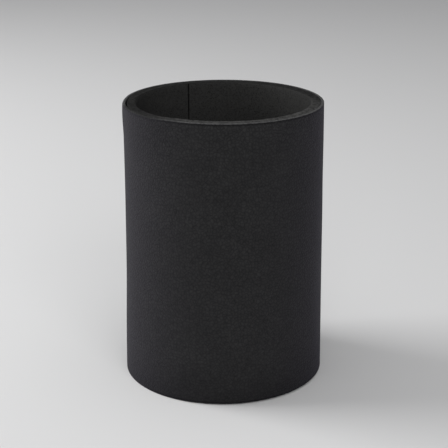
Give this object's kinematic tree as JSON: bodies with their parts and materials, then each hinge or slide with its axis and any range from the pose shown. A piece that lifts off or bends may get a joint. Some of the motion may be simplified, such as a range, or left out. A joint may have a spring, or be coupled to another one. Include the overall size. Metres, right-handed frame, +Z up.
{
  "type": "can cooler sleeve",
  "caption": "Round foam sleeve with a grained black skin that keeps a drinks can cold: open mouth, vented base, and hidden magnets that hold its back to a steel panel.",
  "frame": {"origin": "centre of the sleeve's underside, on the surface that it stands on", "axes": "+Z up the sleeve's axis and out of its mouth, +Y towards the back, where the magnets are, +X to the right seen from the front"},
  "size_m": [0.0762, 0.0762, 0.107],
  "materials": {
    "grained_skin": "matte fine-grained leatherette, near black",
    "cut_foam": "matte closed-cell foam rubber, cut edge",
    "nickel_plate": "satin nickel plate"
  },
  "bodies": {
    "root": {"outer_skin": "grained_skin", "foam_wall": "cut_foam", "base_foam": "cut_foam", "base_skin": "grained_skin", "magnet_lower": "nickel_plate", "magnet_middle": "nickel_plate", "magnet_upper": "nickel_plate"}
  },
  "joints": []
}
